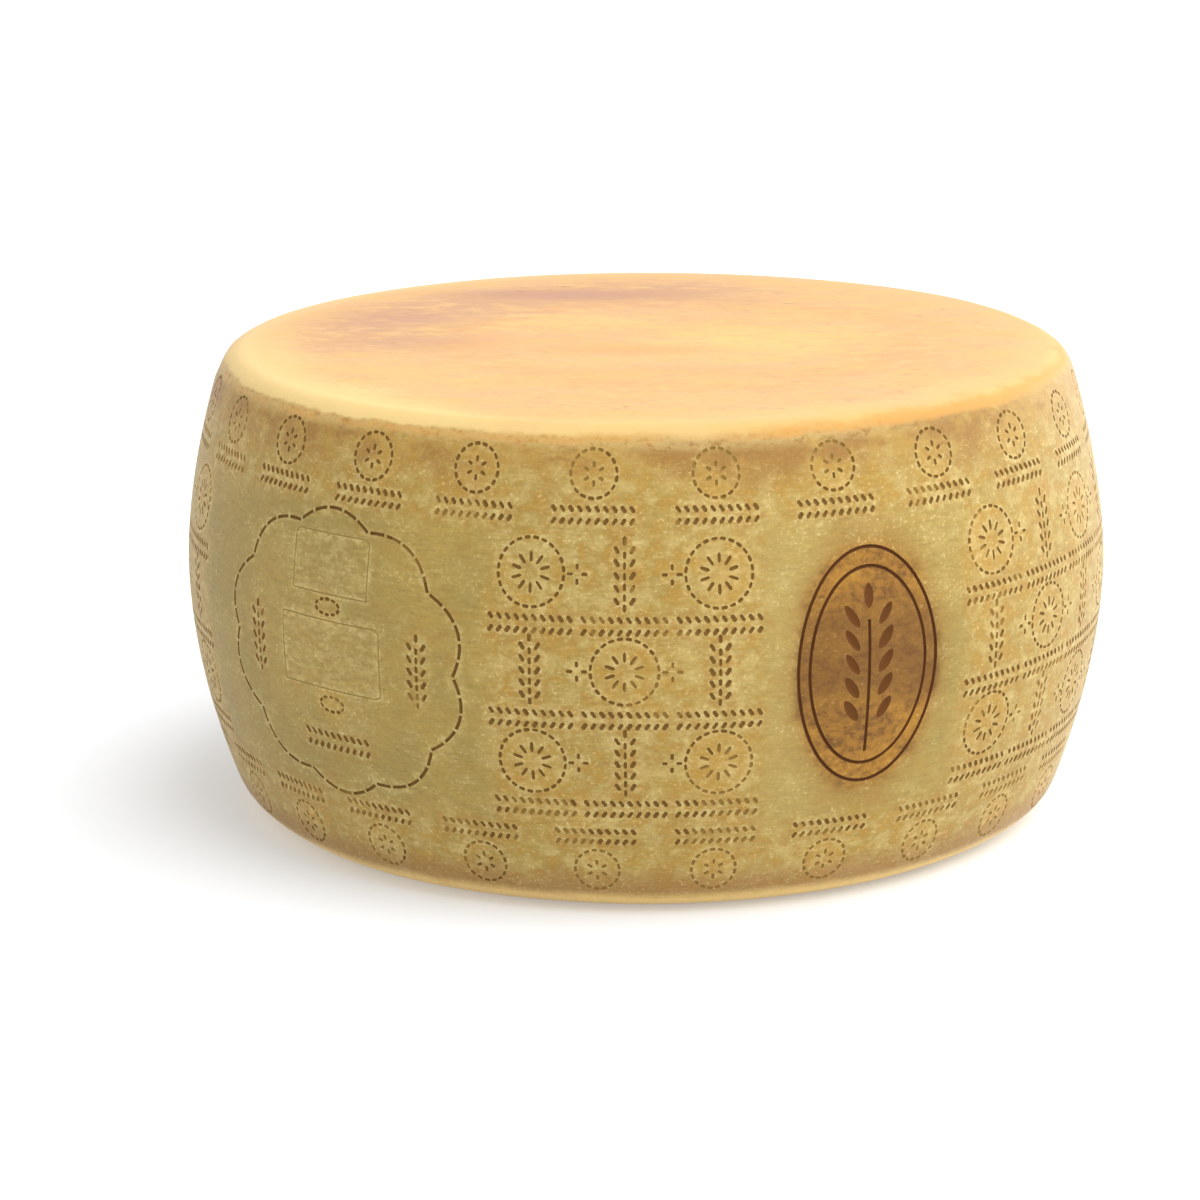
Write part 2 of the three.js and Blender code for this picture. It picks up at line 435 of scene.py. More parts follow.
def burntOval(degrees):
    x, y, tall = arcOf(degrees), ovalMark["height"], ovalMark["tall"]
    for share in (1, ovalMark["innerShare"]):
        closedLine("burnt", x, y, ovalMark["wide"] * share, tall * share, 72)
    stroke("burnt", *[(x, y + tall * end) for end in ovalMark["stalk"]])
    grain, top = ovalMark["grain"], y + tall * ovalMark["topGrain"]
    stroke("grain", (x, top), (x, top + grain))
    for i in range(ovalMark["grainPairs"]):
        foot = y + tall * ovalMark["firstPair"] - i * grain * ovalMark["grainStep"]
        grainPair("grain", x, foot, ovalMark["grainGap"], grain, math.radians(ovalMark["grainTilt"]))


ornament()
for degrees in badgeMark["angles"]:
    badge(degrees)
for degrees in ovalMark["angles"]:
    burntOval(degrees)
print("lines drawn:", {kind: len(drawn) for kind, drawn in lines.items()})


def makeLines(kind):
    curve = bpy.data.curves.new(kind + "Lines", "CURVE")
    curve.dimensions = "3D"
    for points, closed in lines[kind]:
        spline = curve.splines.new("POLY")
        spline.points.add(len(points) - 1)
        for point, (x, y) in zip(spline.points, points):
            point.co = (x, y, 0, 1)
        spline.use_cyclic_u = closed
    made = bpy.data.objects.new(kind + "Lines", curve)
    bpy.context.collection.objects.link(made)
    return made


# The point that presses one dash, of unit length and width: upright above, with a keel below
def makeTool(name, outline, keel):
    mesh = bpy.data.meshes.new(name)
    count, flare, rise = len(outline), 0.25, 1.8
    waist = [(x + (x - math.copysign(keel, x)) * flare, y * (1 + flare), flare) for x, y in outline]
    places = waist + [(x, y, rise) for x, y, z in waist] + [(-keel, 0, -1), (keel, 0, -1)]
    faces = [tuple(range(count, 2 * count))]
    ends = [2 * count + (x > 0) for x, y in outline]
    for i in range(count):
        after = (i + 1) % count
        faces.append((i, after, after + count, i + count))
        faces.append((after, i, *dict.fromkeys((ends[i], ends[after]))))
    mesh.from_pydata(places, [], faces)
    made = bpy.data.objects.new(name, mesh)
    bpy.context.collection.objects.link(made)
    return made


def makeTools():
    shoulder, almondSteps, almondPower = 0.32, 18, 0.3
    dash = [(-0.5, 0), (-shoulder, -0.5), (shoulder, -0.5), (0.5, 0), (shoulder, 0.5), (-shoulder, 0.5)]
    almond = []
    for i in range(almondSteps):
        turn = 2 * math.pi * (i + 0.5) / almondSteps
        sharp = abs(math.sin(turn)) ** almondPower
        almond.append((-0.5 * math.cos(turn), -0.5 * sharp * math.sin(turn)))
    return makeTool("dashTool", dash, 0.22), makeTool("grainTool", almond, 0.28)


# Pressing the ornament in
def newTree(name, sockets):
    tree = bpy.data.node_groups.new(name, "GeometryNodeTree")
    tree.interface.new_socket("Geometry", in_out="INPUT", socket_type="NodeSocketGeometry")
    tree.interface.new_socket("Geometry", in_out="OUTPUT", socket_type="NodeSocketGeometry")
    for label, kind in sockets.items():
        tree.interface.new_socket(label, in_out="INPUT", socket_type="NodeSocket" + kind)
    nodes = Nodes(tree)
    return nodes, nodes.add("NodeGroupInput").outputs


shared = {"Lines": "Object", "Rind": "Object", "Girth": "Float", "Height": "Float",
          "Mark": "String", "Finish": "Material", "Worn Finish": "Material", "Wear": "Float"}
wear = {
    "patchSize": 38 * mm,
    "lowFade": (50 * mm, 20 * mm),   # the marks are more worn near the foot
    "lowShare": 0.2,
    "dashes": 0.46,
}
dashUneven = {"least": (0.9, 0.85, 0.75), "most": (1.0, 1.12, 1.1), "seed": 5}   # length, width, depth


# Lays flat cutters round the wheel by the rind's flat map, cuts them out and gives them a finish
def wrapAndCut(nodes, given, cutters):
    rind = nodes.add("GeometryNodeObjectInfo", {"Object": given["Rind"]}).outputs["Geometry"]
    flat = nodes.add("ShaderNodeSeparateXYZ", {0: nodes.add("GeometryNodeInputPosition").outputs[0]})
    turn = nodes.maths("DIVIDE", flat.outputs["X"], given["Girth"])
    turn = nodes.maths("FRACT", nodes.plus(turn, 0.5))
    spot = nodes.combine(turn, nodes.maths("DIVIDE", flat.outputs["Y"], given["Height"]), 0.0)
    flatMap = nodes.add("GeometryNodeInputNamedAttribute", {"Name": "wrap"},
                        data_type="FLOAT_VECTOR").outputs["Attribute"]
    found = []
    for kind in ("GeometryNodeInputPosition", "GeometryNodeInputNormal"):
        found.append(nodes.add("GeometryNodeSampleUVSurface", {
            "Mesh": rind, "Value": nodes.add(kind).outputs[0], "UV Map": flatMap,
            "Sample UV": spot}, data_type="FLOAT_VECTOR").outputs["Value"])
    surface, normal = found
    outward = nodes.add("ShaderNodeVectorMath", {"Vector": normal, "Scale": flat.outputs["Z"]},
                        operation="SCALE").outputs[0]
    cutters = nodes.add("GeometryNodeSetPosition", {
        "Geometry": cutters, "Position": nodes.vectorMaths("ADD", surface, outward)}).outputs[0]
    cutters = nodes.add("GeometryNodeStoreNamedAttribute", {
        "Geometry": cutters, "Name": given["Mark"], "Value": True},
        data_type="BOOLEAN", domain="FACE").outputs[0]
    cut = nodes.add("GeometryNodeMeshBoolean", {"Mesh 1": given["Geometry"], "Mesh 2": cutters},
                    operation="DIFFERENCE", solver="MANIFOLD").outputs[0]
    marked = nodes.add("GeometryNodeInputNamedAttribute", {"Name": given["Mark"]},
                       data_type="BOOLEAN").outputs["Attribute"]
    whole = nodes.add("GeometryNodeRealizeInstances", {"Geometry": cut}).outputs[0]
    finished = nodes.add("GeometryNodeSetMaterial", {
        "Geometry": whole, "Selection": marked, "Material": given["Finish"]}).outputs[0]
    place = nodes.add("GeometryNodeInputPosition").outputs[0]
    height = nodes.add("ShaderNodeSeparateXYZ", {0: place}).outputs["Z"]
    low = nodes.times(nodes.fade(height, *wear["lowFade"]), wear["lowShare"])
    patch = nodes.plus(nodes.noise(place, wear["patchSize"], 2.0), low)
    worn = nodes.add("FunctionNodeBooleanMath", {
        0: marked, 1: nodes.maths("LESS_THAN", nodes.minus(1.0, patch), given["Wear"])},
        operation="AND").outputs[0]
    nodes.add("NodeGroupOutput", {"Geometry": nodes.add("GeometryNodeSetMaterial", {
        "Geometry": finished, "Selection": worn, "Material": given["Worn Finish"]}).outputs[0]})


# Sets the dash tool along each line, one to a step
def dashTree():
    nodes, given = newTree("pressDashes", {
        **shared, "Tool": "Object", "Pitch": "Float", "Share": "Float", "Width": "Float",
        "Depth": "Float"})
    drawn = nodes.add("GeometryNodeObjectInfo", {"Object": given["Lines"]}).outputs["Geometry"]
    stepped = nodes.add("GeometryNodeResampleCurve", {
        "Curve": drawn, "Length": given["Pitch"]}, mode="LENGTH").outputs[0]
    edges = nodes.add("GeometryNodeCurveToMesh", {"Curve": stepped}).outputs[0]
    ends = nodes.add("GeometryNodeInputMeshEdgeVertices").outputs
    along = nodes.vectorMaths("SUBTRACT", ends["Position 2"], ends["Position 1"])
    uneven = nodes.add("FunctionNodeRandomValue", {
        0: dashUneven["least"], 1: dashUneven["most"], "Seed": dashUneven["seed"]},
        data_type="FLOAT_VECTOR").outputs[0]
    size = nodes.vectorMaths("MULTIPLY", uneven, nodes.combine(
        nodes.times(nodes.vectorMaths("LENGTH", along), given["Share"]),
        given["Width"], given["Depth"]))
    keep = nodes.add("GeometryNodeCaptureAttribute", {"Geometry": edges}, domain="EDGE")
    for name, value in (("along", along), ("size", size)):
        keep.capture_items.new("VECTOR", name)
        nodes.put(keep.inputs[name], value)
    middles = nodes.add("GeometryNodeMeshToPoints", {"Mesh": keep.outputs["Geometry"]},
                        mode="EDGES").outputs[0]
    turned = nodes.add("FunctionNodeAlignRotationToVector", {"Vector": keep.outputs["along"]},
                       axis="X", pivot_axis="Z").outputs[0]
    tool = nodes.add("GeometryNodeObjectInfo", {"Object": given["Tool"]}).outputs["Geometry"]
    dashes = nodes.add("GeometryNodeInstanceOnPoints", {
        "Points": middles, "Instance": tool, "Rotation": turned,
        "Scale": keep.outputs["size"]}).outputs[0]
    wrapAndCut(nodes, given, nodes.add("GeometryNodeRealizeInstances", {"Geometry": dashes}).outputs[0])
    return nodes.tree


# Sweeps a four-cornered groove along each line
def grooveTree():
    nodes, given = newTree("cutGrooves", {**shared, "Step": "Float", "Width": "Float",
                                          "Depth": "Float"})
    drawn = nodes.add("GeometryNodeObjectInfo", {"Object": given["Lines"]}).outputs["Geometry"]
    stepped = nodes.add("GeometryNodeResampleCurve", {
        "Curve": drawn, "Length": given["Step"]}, mode="LENGTH").outputs[0]
    upright = nodes.add("GeometryNodeSetCurveNormal", {"Curve": stepped}, mode="Z_UP").outputs[0]
    circle = nodes.add("GeometryNodeCurvePrimitiveCircle", {"Resolution": 4, "Radius": 1.0})
    size = nodes.combine(nodes.times(given["Width"], 0.5), given["Depth"], 1.0)
    profile = nodes.add("GeometryNodeTransform", {
        "Geometry": circle.outputs["Curve"], "Scale": size}).outputs[0]
    swept = nodes.add("GeometryNodeCurveToMesh", {
        "Curve": upright, "Profile Curve": profile, "Fill Caps": True}).outputs[0]
    wrapAndCut(nodes, given, swept)
    return nodes.tree


def press(rind, tree, label, values):
    modifier = rind.modifiers.new(label, "NODES")
    modifier.node_group = tree
    for item in tree.interface.items_tree:
        if item.in_out == "INPUT" and item.name in values:
            modifier[item.identifier] = values[item.name]


rindForm.name = "rindForm"
rind = bpy.data.objects.new("cheese_rind", rindForm.data.copy())
bpy.context.collection.objects.link(rind)


# Finishes
rindLook = {
    "sideBase": (149, 128, 65),
    "sideGold": (162, 136, 67),
    "sidePale": (178, 157, 96),
    "sideWarm": (158, 117, 50),
    "sideDullAndShade": (132, 111, 57),
    "workedGold": (165, 134, 61),
    "cream": (204, 182, 120),
    "rimBrown": (141, 100, 45),
    "rimGold": (167, 130, 60),
    "rimAsh": (186, 159, 100),
    "rimOrange": (196, 142, 66),
    "footBrown": (150, 111, 59),
    "paintedFootBounceLight": (230, 196, 122),
    "speck": (216, 196, 144),
    "topPeach": (209, 164, 109),
    "topCream": (213, 167, 100),
    "topYellow": (214, 184, 117),
    "topPale": (213, 177, 101),
    "topWarm": (211, 151, 86),
    "paintedRimHighlight": (229, 203, 141),
    "topStreak": (186, 142, 100),
    "topSmear": (166, 119, 100),
    "crack": (128, 88, 58),
    "burn": (147, 99, 26),
    "burnPale": (176, 124, 32),
    "burnDark": (98, 58, 10),
    "burnHalo": (148, 110, 46),
    "warmFill": (171, 129, 48),
}
look = {name: colour(*value) for name, value in rindLook.items()}


def newMaterial(name):
    material = bpy.data.materials.new(name)
    material.use_nodes = True
    material.node_tree.nodes.clear()
    nodes = Nodes(material.node_tree)
    shader = nodes.add("ShaderNodeBsdfPrincipled")
    nodes.add("ShaderNodeOutputMaterial", {"Surface": shader.outputs[0]})
    return material, nodes, shader


# Distance from a burnt oval's middle, 1 at its outline, whichever oval is nearer
def ovalReach(nodes, x, y, z):
    nearest = None
    upward = nodes.maths("DIVIDE", nodes.minus(z, ovalMark["height"]), ovalMark["tall"] / 2)
    for degrees in ovalMark["angles"]:
        turn = math.radians(degrees)
        across = nodes.plus(nodes.times(x, math.cos(turn)), nodes.times(y, math.sin(turn)))
        ahead = nodes.minus(nodes.times(x, math.sin(turn)), nodes.times(y, math.cos(turn)))
        aside = nodes.times(nodes.maths("ARCTAN2", across, ahead),
                            wheelForm["radius"] / (ovalMark["wide"] / 2))
        reach = nodes.length(aside, upward)
        nearest = nodes.maths("MINIMUM", nearest, reach) if nearest else reach
    return nearest


# A soft streak on the upper face, long one way, with a ragged outline: 1 at its middle
def streakOn(nodes, x, y, middle, size, ragged):
    across, along = (nodes.maths("DIVIDE", nodes.minus(value, centre * mm), half * mm)
                     for value, centre, half in zip((x, y), middle, size))
    return nodes.fade(nodes.plus(nodes.length(across, along), ragged), 1.3, 0.2)


# On the upper face: colour, middle and half size in mm, and how strong
upperSpots = (
    ("topPale", (56, 4), (60, 40), 0.8),
    ("topPale", (-30, 52), (44, 26), 0.5),
    ("topWarm", (-4, -18), (50, 16), 0.75),
    ("topWarm", (24, -72), (60, 16), 0.4),
    ("topSmear", (-104, -2), (42, 22), 0.26),
    ("topSmear", (-40, 124), (74, 17), 0.66),
    ("topSmear", (-118, 62), (40, 22), 0.3),
)


# Each noise of the rind: size, squeeze along x, y and z, detail and roughness
rindNoise = {
    "patch": (75 * mm, None, 4.0, 0.55),
    "mottle": (18 * mm, (1, 1, 1.5), 5.0, 0.6),
    "fine": (4.2 * mm, (1, 1, 1.5), 4.0, 0.72),
    "grain": (1.7 * mm, (1, 1, 1.3), 3.0, 0.7),
    "cloth": (9 * mm, (1, 1, 7), 4.0, 0.7),
    "blotch": (8 * mm, (1, 1, 1.2), 3.0, 0.5),
    "rimPatch": (26 * mm, (1, 1, 1.3), 5.0, 0.65),
    "lipPatch": (30 * mm, None, 3.0, 0.5),
    "drawn": (44 * mm, (1, 1.7, 1), 5.0, 0.6),
    "cloud": (95 * mm, (1, 1.4, 1), 3.0, 0.5),
    "hair": (15 * mm, (1, 1.9, 1), 6.0, 0.72),
    "wisp": (6 * mm, (1, 2.4, 1), 3.0, 0.6),
    "crack": (7 * mm, (0.5, 2.2, 1), 3.0, 0.6),
}

# In mm, where each change of colour starts and where it is full
rindSpans = {
    "paintedShadeLeft": (-70, -190),       # along x
    "toRight": (-120, 110),
    "farRight": (120, 175),
    "ashLeft": (180, 60),
    "highlightLeft": (60, -140),
    "lipRight": (10, 130),
    "besideFront": (0, -90),       # along y
    "ringFront": (90, -60),
    "underRim": (196, 218),        # along z
    "rimFlecks": (192, 207),
    "rimDark": (204, 209),
    "ash": (207, 212),
    "lipIn": (209.5, 212),
    "lipOut": (215, 212.2),
    "speckTop": (206, 192),
    "foot": (34, 22),
    "footEdge": (14, 7),
    "lowerFace": (2, 0.3),
    "footOut": (178, 192),         # from the axis
    "lowerFaceIn": (198, 182),
    "inner": (186, 164),
    "byEdge": (174, 190),
    "ring": (156, 186),
    "hazeFrom": (66, 132),
    "hazeTo": (178, 142),
    "beside": (45, 12),            # from a line or ring
    "deepBurn": (34, 12),
    "warmRing": (24, 2),
}


def rindMaterial():
    material, nodes, shader = newMaterial("agedRind")
    place = nodes.add("ShaderNodeTexCoord").outputs["Object"]
    apart = nodes.add("ShaderNodeSeparateXYZ", {0: place}).outputs
    x, y, z = apart["X"], apart["Y"], apart["Z"]
    radius = nodes.length(x, y)
    fade, times, plus, minus, shift = nodes.fade, nodes.times, nodes.plus, nodes.minus, nodes.shift

    def noiseOf(name):
        size, squeeze, detail, roughness = rindNoise[name]
        where = nodes.vectorMaths("MULTIPLY", place, squeeze) if squeeze else place
        return nodes.noise(where, size, detail, roughness)

    def along(value, span):
        return fade(value, *(end * mm for end in rindSpans[span]))

    def apartFrom(value, middle):
        return nodes.maths("ABSOLUTE", minus(value, middle))

    # lays a colour over another, as strong as given, wherever all the shares are high
    def layer(under, colourName, strength, share, *others):
        for other in others:
            share = times(share, other)
        return nodes.mix(times(share, strength), under, look[colourName])

    # the side: gold and olive in patches, finely mottled and drawn out round the wheel
    patch, mottle, fine, grain, cloth, blotch = map(noiseOf, (
        "patch", "mottle", "fine", "grain", "cloth", "blotch"))
    worked = nodes.attribute("worked")
    side = nodes.mix(fade(patch, 0.36, 0.62), look["sideBase"], look["sideGold"])
    side = layer(side, "sidePale", 0.4, fade(mottle, 0.5, 0.7))
    side = layer(side, "sideWarm", 0.35, fade(mottle, 0.46, 0.3))
    side = layer(side, "sideDullAndShade", 0.4, fade(cloth, 0.5, 0.3))
    # painted shade: the left part of the side is darkened, as if turned away from the light; the same
    # dull colour above is a real random tone
    side = layer(side, "sideDullAndShade", 0.15, along(x, "paintedShadeLeft"))
    beside = along(apartFrom(x, 50 * mm), "beside")
    side = layer(side, "sidePale", 0.3, beside, along(y, "besideFront"))
    side = layer(side, "workedGold", 0.45, worked)
    side = layer(side, "cream", 0.34, fade(fine, 0.48, 0.72), shift(0.35, worked, 0.6))
    side = layer(side, "sideWarm", 0.44, fade(fine, 0.47, 0.33), shift(0.35, worked, 0.55))
    side = layer(side, "cream", 0.3, worked, fade(blotch, 0.44, 0.68))
    side = layer(side, "warmFill", 0.5, worked, fade(blotch, 0.54, 0.34))

    # what the pressing left: warm colour inside rings, darkened bands, and a pale bloom beside marks
    # that is partly paler rind and partly a painted highlight on the pressed edges
    side = layer(side, "warmFill", 0.5, nodes.attribute("warm"), fade(patch, 0.34, 0.58))
    side = layer(side, "cream", 0.42, nodes.attribute("bloomAndHighlight"), fade(fine, 0.36, 0.6))
    side = layer(side, "sideWarm", 0.42, nodes.attribute("shaded"), fade(fine, 0.62, 0.4))
    side = layer(side, "cream", 0.22, nodes.attribute("plated"), fade(fine, 0.42, 0.62))

    # ragged gold, brown and ash under the rim, a browned band at the foot, and a pale lower edge that is
    # painted light thrown up from the floor
    rimPatch = noiseOf("rimPatch")
    under = along(shift(z, rimPatch, 24 * mm), "underRim")
    side = layer(side, "rimGold", 0.7, under)
    toRight = along(x, "toRight")
    browned = shift(rimPatch, apartFrom(toRight, 0.45), 0.1)
    browned = minus(browned, times(along(x, "farRight"), 0.09))
    side = layer(side, "rimBrown", 0.75, under, fade(browned, 0.47, 0.63))
    flecks = times(fade(fine, 0.48, 0.62), fade(mottle, 0.5, 0.6))
    side = layer(side, "rimAsh", 0.5, along(z, "rimFlecks"), flecks)
    ashy = times(along(shift(z, rimPatch, 6 * mm), "ash"),
                 minus(along(x, "ashLeft"), times(toRight, 0.3)))
    side = layer(side, "rimAsh", 0.8, ashy, fade(fine, 0.3, 0.5))
    side = layer(side, "rimBrown", 0.4, along(z, "rimDark"), fade(fine, 0.46, 0.37))
    side = layer(side, "footBrown", 0.7, along(shift(z, mottle, 16 * mm), "foot"))
    # painted light: the lowest band of the side is made paler, as if lit from the floor below
    side = layer(side, "paintedFootBounceLight", 0.9, along(shift(z, mottle, 4 * mm), "footEdge"),
                 along(shift(radius, patch, 20 * mm), "footOut"))

    # the burnt ovals, with a soft scorched edge
    reach = plus(ovalReach(nodes, x, y, z), times(minus(mottle, 0.5), 0.2))
    side = layer(side, "burnHalo", 0.6, fade(reach, 1.42, 0.98))
    burnt = nodes.mix(fade(fine, 0.36, 0.6), look["burnDark"], look["burn"])
    burnt = layer(burnt, "burnPale", 0.62, fade(mottle, 0.4, 0.64))
    burnt = layer(burnt, "burnDark", 0.66, along(apartFrom(z, ovalMark["height"] + 6 * mm), "deepBurn"))
    side = nodes.mix(times(fade(reach, 1.16, 0.96), 0.88), side, burnt)

    # pale specks and a sandy grain over it all
    speckled = times(plus(times(worked, 0.5), fade(mottle, 0.42, 0.6), clamp=True), along(z, "speckTop"))
    speckled = times(speckled, shift(0.3, fade(reach, 0.8, 1.2), 0.7))
    side = layer(side, "speck", 0.4, fade(grain, 0.57, 0.68), speckled)
    sandy = plus(0.62, plus(times(grain, 0.44), times(cloth, 0.3)))
    side = nodes.mix(1.0, side, sandy, "MULTIPLY")

    # the upper face: peach, yellow at its rim and middle, drawn into faint streaks
    drawn, cloud, hair = map(noiseOf, ("drawn", "cloud", "hair"))
    wander = times(minus(cloud, 0.5), 90 * mm)
    ragged = times(minus(hair, 0.5), 2.4)
    top = nodes.mix(fade(drawn, 0.36, 0.62), look["topPeach"], look["topCream"])
    ring = times(along(plus(radius, wander), "ring"), minus(1.0, times(toRight, 0.5)))
    top = layer(top, "topYellow", 0.9, ring, along(y, "ringFront"))
    # painted highlight: a pale line along the rim of the upper face, strongest towards the left
    top = layer(top, "paintedRimHighlight", 0.4, along(radius, "byEdge"), along(x, "highlightLeft"))
    fromMiddle = nodes.length(minus(x, 20 * mm), y)
    offRing = apartFrom(shift(fromMiddle, wander, 0.5), 104 * mm)
    top = layer(top, "topWarm", 0.42, along(offRing, "warmRing"), fade(hair, 0.36, 0.56))

    # the far side of the upper face, a little to the left, is duller
    lean = nodes.maths("DIVIDE", plus(times(x, -0.6), times(y, 0.8)), radius)
    top = layer(top, "topStreak", 0.2, fade(lean, -0.3, 0.9))
    far = shift(radius, wander, 0.4)
    haze = times(fade(lean, 0.25, 0.75), times(along(far, "hazeFrom"), along(far, "hazeTo")))
    top = layer(top, "topSmear", 0.56, haze, fade(hair, 0.34, 0.58))
    for tint, spot, size, depth in upperSpots:
        top = layer(top, tint, depth, streakOn(nodes, x, y, spot, size, ragged))
    inner = along(radius, "inner")
    top = layer(top, "topStreak", 0.36, inner, fade(hair, 0.52, 0.68))
    top = layer(top, "topYellow", 0.22, inner, fade(hair, 0.46, 0.3))
    top = layer(top, "topStreak", 0.42, inner, fade(noiseOf("wisp"), 0.54, 0.64))
    top = layer(top, "crack", 0.6, inner, fade(noiseOf("crack"), 0.68, 0.74))
    top = nodes.mix(1.0, top, shift(0.85, fine, 0.12), "MULTIPLY")

    # over the rounded rim the colour runs through orange into the side, more so at the right
    edge = plus(z, plus(times(rimPatch, 6 * mm), times(mottle, 3 * mm)))
    edge = shift(edge, inner, 10 * mm)
    edge = minus(edge, plus(times(toRight, 2.9 * mm), 0.8 * mm))
    above = fade(edge, minus(213.5 * mm, times(toRight, 4.1 * mm)), shift(214.9 * mm, toRight, 0.6 * mm))
    whole = nodes.mix(above, side, top)
    lip = times(along(edge, "lipIn"), along(minus(edge, times(toRight, 1 * mm)), "lipOut"))
    orange = plus(along(x, "lipRight"), times(fade(noiseOf("lipPatch"), 0.35, 0.6), 0.7), clamp=True)

    # the lower face is like the upper one
    below = times(along(z, "lowerFace"), along(shift(radius, mottle, 16 * mm), "lowerFaceIn"))
    whole = nodes.mix(times(below, 0.75), whole, top)
    whole = layer(whole, "rimOrange", 0.7, lip, orange)

    height = plus(times(cloth, 0.3), plus(times(mottle, 0.9), times(grain, 0.15)))
    bump = nodes.add("ShaderNodeBump", {"Height": height, "Strength": 0.5, "Distance": 0.5 * mm})
    nodes.give(shader, {
        "Base Color": whole, "Normal": bump.outputs[0],
        "Roughness": plus(shift(0.5, above, 0.28), times(mottle, 0.2)),
        "Specular IOR Level": 0.3, "Sheen Weight": 0.13, "Sheen Roughness": 0.35})
    return material


def markMaterial(name, red, green, blue):
    material, nodes, shader = newMaterial(name)
    place = nodes.add("ShaderNodeTexCoord").outputs["Object"]
    grain = nodes.noise(place, 1.4 * mm, 2.0)
    bump = nodes.add("ShaderNodeBump", {"Height": grain, "Strength": 0.5, "Distance": 0.3 * mm})
    nodes.give(shader, {
        "Base Color": colour(red, green, blue), "Normal": bump.outputs[0],
        "Roughness": nodes.shift(0.55, grain, 0.3), "Specular IOR Level": 0.15})
    return material


finishes = {
    "rind": rindMaterial(),
    "mark": markMaterial("pressedMark", 112, 82, 34),
    "wornMark": markMaterial("wornMark", 136, 106, 50),
    "plate": markMaterial("plateLine", 148, 126, 68),
    "burnt": markMaterial("burntLine", 80, 44, 10),
    "burntGrain": markMaterial("burntGrain", 96, 56, 18),
}

# Pressing the wheel
rind.data.materials.append(finishes["rind"])
base = {"Rind": rindForm, "Girth": 2 * math.pi * wheelForm["radius"],
        "Height": wheelForm["height"]}
grooveKinds = {
    "plate": {"Width": 0.7 * mm, "Depth": 0.3 * mm, "Step": 4 * mm, "Wear": 0.0},
    "burnt": {"Width": 1.5 * mm, "Depth": 0.8 * mm, "Step": 3 * mm, "Wear": 0.0},
    "edge": {"Width": 1.5 * mm, "Depth": 0.9 * mm, "Step": 2 * mm, "Wear": 0.4},
}
grooves, dashes, tools = grooveTree(), dashTree(), makeTools()
helpers = [rindForm, *tools]
for kind, sizes in grooveKinds.items():
    helpers.append(makeLines(kind))
    fresh, worn = ("mark", "wornMark") if kind == "edge" else (kind, kind)
    press(rind, grooves, kind, {**base, **sizes, "Lines": helpers[-1], "Mark": kind,
                                "Finish": finishes[fresh], "Worn Finish": finishes[worn]})
for kind, sizes in dashKinds.items():
    helpers.append(makeLines(kind))
    fresh, worn = ("burntGrain", "burntGrain") if kind == "grain" else ("mark", "wornMark")
    press(rind, dashes, kind, {**base, "Lines": helpers[-1], "Mark": kind,
                               "Tool": tools[kind == "grain"],
                               "Finish": finishes[fresh], "Worn Finish": finishes[worn],
                               "Pitch": sizes["pitch"], "Share": sizes["share"], "Wear": wear["dashes"],
                               "Width": sizes["width"], "Depth": sizes["depth"]})
pressed = bpy.data.meshes.new_from_object(rind.evaluated_get(bpy.context.evaluated_depsgraph_get()))
pressed.validate()
rind.modifiers.clear()
rind.data = pressed
for helper in helpers:
    bpy.data.objects.remove(helper)
print("pressed rind:", sum(len(face.vertices) - 2 for face in pressed.polygons), "triangles")


# Edges, attributes and map
def asArray(items, name, width, kind=float):
    values = np.zeros(len(items) * width, kind)
    items.foreach_get(name, values)
    return values.reshape(-1, width) if width > 1 else values


mesh = rind.data
places = asArray(mesh.vertices, "co", 3)
slots = asArray(mesh.polygons, "material_index", 1, int)
loopVertex = asArray(mesh.loops, "vertex_index", 1, int)
loopEdge = asArray(mesh.loops, "edge_index", 1, int)
loopCount = asArray(mesh.polygons, "loop_total", 1, int)
loopFace = np.repeat(np.arange(len(loopCount)), loopCount)
onMark = slots[loopFace] > 0

# the lip of each mark stays crisp
touchesMark = np.zeros(len(mesh.edges), bool)
touchesRind = np.zeros(len(mesh.edges), bool)
touchesMark[loopEdge[onMark]] = True
touchesRind[loopEdge[~onMark]] = True
mesh.shade_smooth()
mesh.edges.foreach_set("use_edge_sharp", touchesMark & touchesRind)

# 1 on every vertex of a mark: the pale bloom beside marks, partly paler rind and partly painted
#                              highlight
bloomAndHighlight = np.zeros(len(mesh.vertices))
bloomAndHighlight[loopVertex[onMark]] = 1
around = np.arctan2(places[:, 0], -places[:, 1])


# How far each point lies along the side from a place given in degrees
def arcFrom(degrees):
    return np.angle(np.exp(1j * (around - math.radians(degrees)))) * wheelForm["radius"]


def insideBox(x, y, wide, tall, soft):
    reach = np.maximum(np.abs(x) - wide / 2, np.abs(y) - tall / 2)
    return 1 - smooth(reach, 0, soft)


# Where the rind is worked all over: above and below these heights, and round each block of figures
workedForm = {
    "upper": (166 * mm, 184 * mm),
    "lower": (34 * mm, 52 * mm),
    "tall": 124 * mm,
    "soft": 14 * mm,
    "strokesSoft": 4 * mm,
    "panelSoft": 3 * mm,
    "ringFade": (0.85, 1.2),   # in shares of the way out to a ring
}
warm = np.zeros(len(mesh.vertices))
for points, closed in lines["fine"]:
    if closed:
        centre = np.mean(points, axis=0)
        wide = max(point[0] for point in points) - centre[0]
        far = np.hypot(arcFrom(math.degrees(centre[0] / wheelForm["radius"])),
                       places[:, 2] - centre[1]) / wide
        warm = np.maximum(warm, 1 - smooth(far, *workedForm["ringFade"]))
worked = np.maximum(smooth(places[:, 2], *workedForm["upper"]),
                    1 - smooth(places[:, 2], *workedForm["lower"]))
